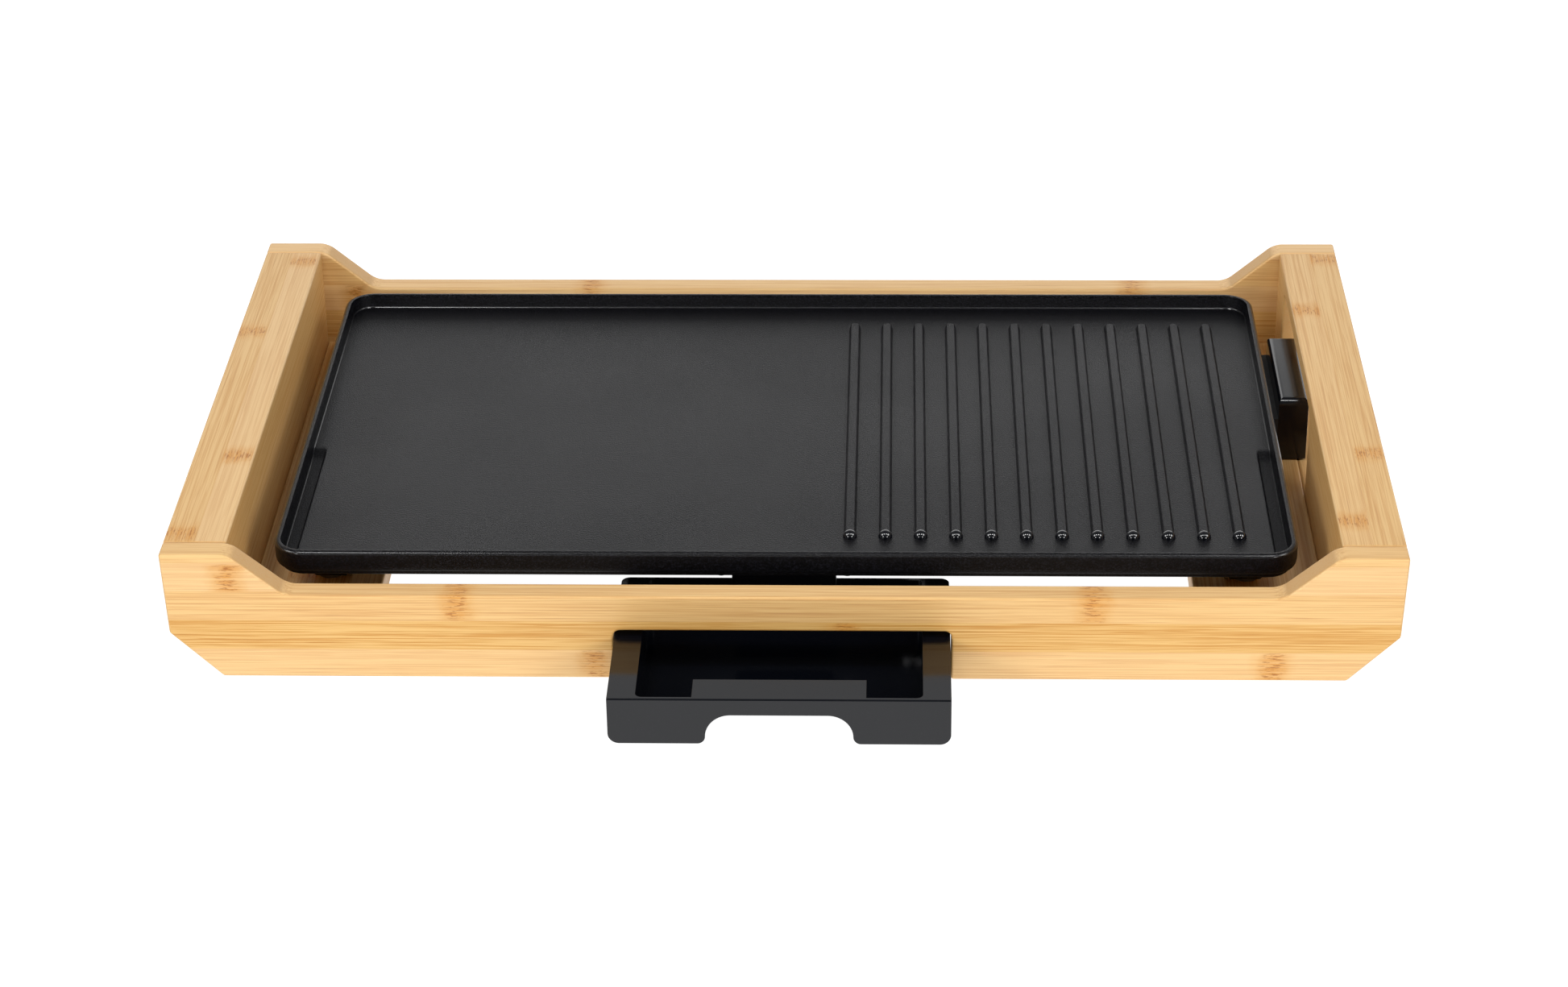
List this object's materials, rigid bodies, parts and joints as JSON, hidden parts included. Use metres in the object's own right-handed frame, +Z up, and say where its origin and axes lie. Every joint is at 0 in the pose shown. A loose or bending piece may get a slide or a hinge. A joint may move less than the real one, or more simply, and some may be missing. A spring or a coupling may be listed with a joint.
{
  "type": "electric griddle",
  "caption": "Tabletop electric griddle: black ribbed cooking plate in a sloped bamboo frame, with a pull-out drip tray in front and a thermostat socket at the side.",
  "frame": {"origin": "on the table, under the middle of the whole object with the drip tray pulled out as stored", "axes": "+X along the frame towards the thermostat socket, -Y towards the front where the drip tray comes out, +Z up"},
  "size_m": [0.56, 0.383, 0.065],
  "materials": {
    "bamboo": "oiled laminated bamboo",
    "dowel_wood": "plain",
    "silicone": "matte",
    "coated_aluminium": "black non-stick coating",
    "element_steel": "heat-dulled",
    "bright_steel": "bright",
    "nickel_plate": "polished",
    "dark_plastic": "satin",
    "gloss_black": "gloss",
    "ceramic": "unglazed"
  },
  "bodies": {
    "frame": {"front_board": "bamboo", "back_board": "bamboo", "left_rail": "bamboo", "right_rail": "bamboo", "left_bottom_board": "bamboo", "right_bottom_board": "bamboo", "frame_dowels": "dowel_wood", "frame_pads": "silicone"},
    "griddle": {"griddle_plate": "coated_aluminium", "heating_element": "element_steel", "element_clips": "bright_steel", "clip_screws": "bright_steel", "drain_spout": "dark_plastic", "spout_screws": "bright_steel", "griddle_legs": "dark_plastic", "leg_pads": "silicone", "leg_screws": "bright_steel", "leg_brackets": "bright_steel", "bracket_screws": "bright_steel", "socket_housing": "gloss_black", "socket_strap": "bright_steel", "socket_screws": "bright_steel", "terminal_block": "ceramic", "terminal_pins": "nickel_plate", "probe_tube": "bright_steel", "earth_tabs": "nickel_plate"},
    "drip_tray": {"drip_tray": "gloss_black"}
  },
  "joints": [
    {"name": "tray_slide", "type": "slide", "parent": "frame", "child": "drip_tray", "axis": [0, -1, 0], "range_m": [-0.053, 0.06]},
    {"name": "griddle_lift", "type": "slide", "parent": "frame", "child": "griddle", "axis": [-0.4067, 0, 0.9135], "range_m": [0, 0.08]}
  ]
}
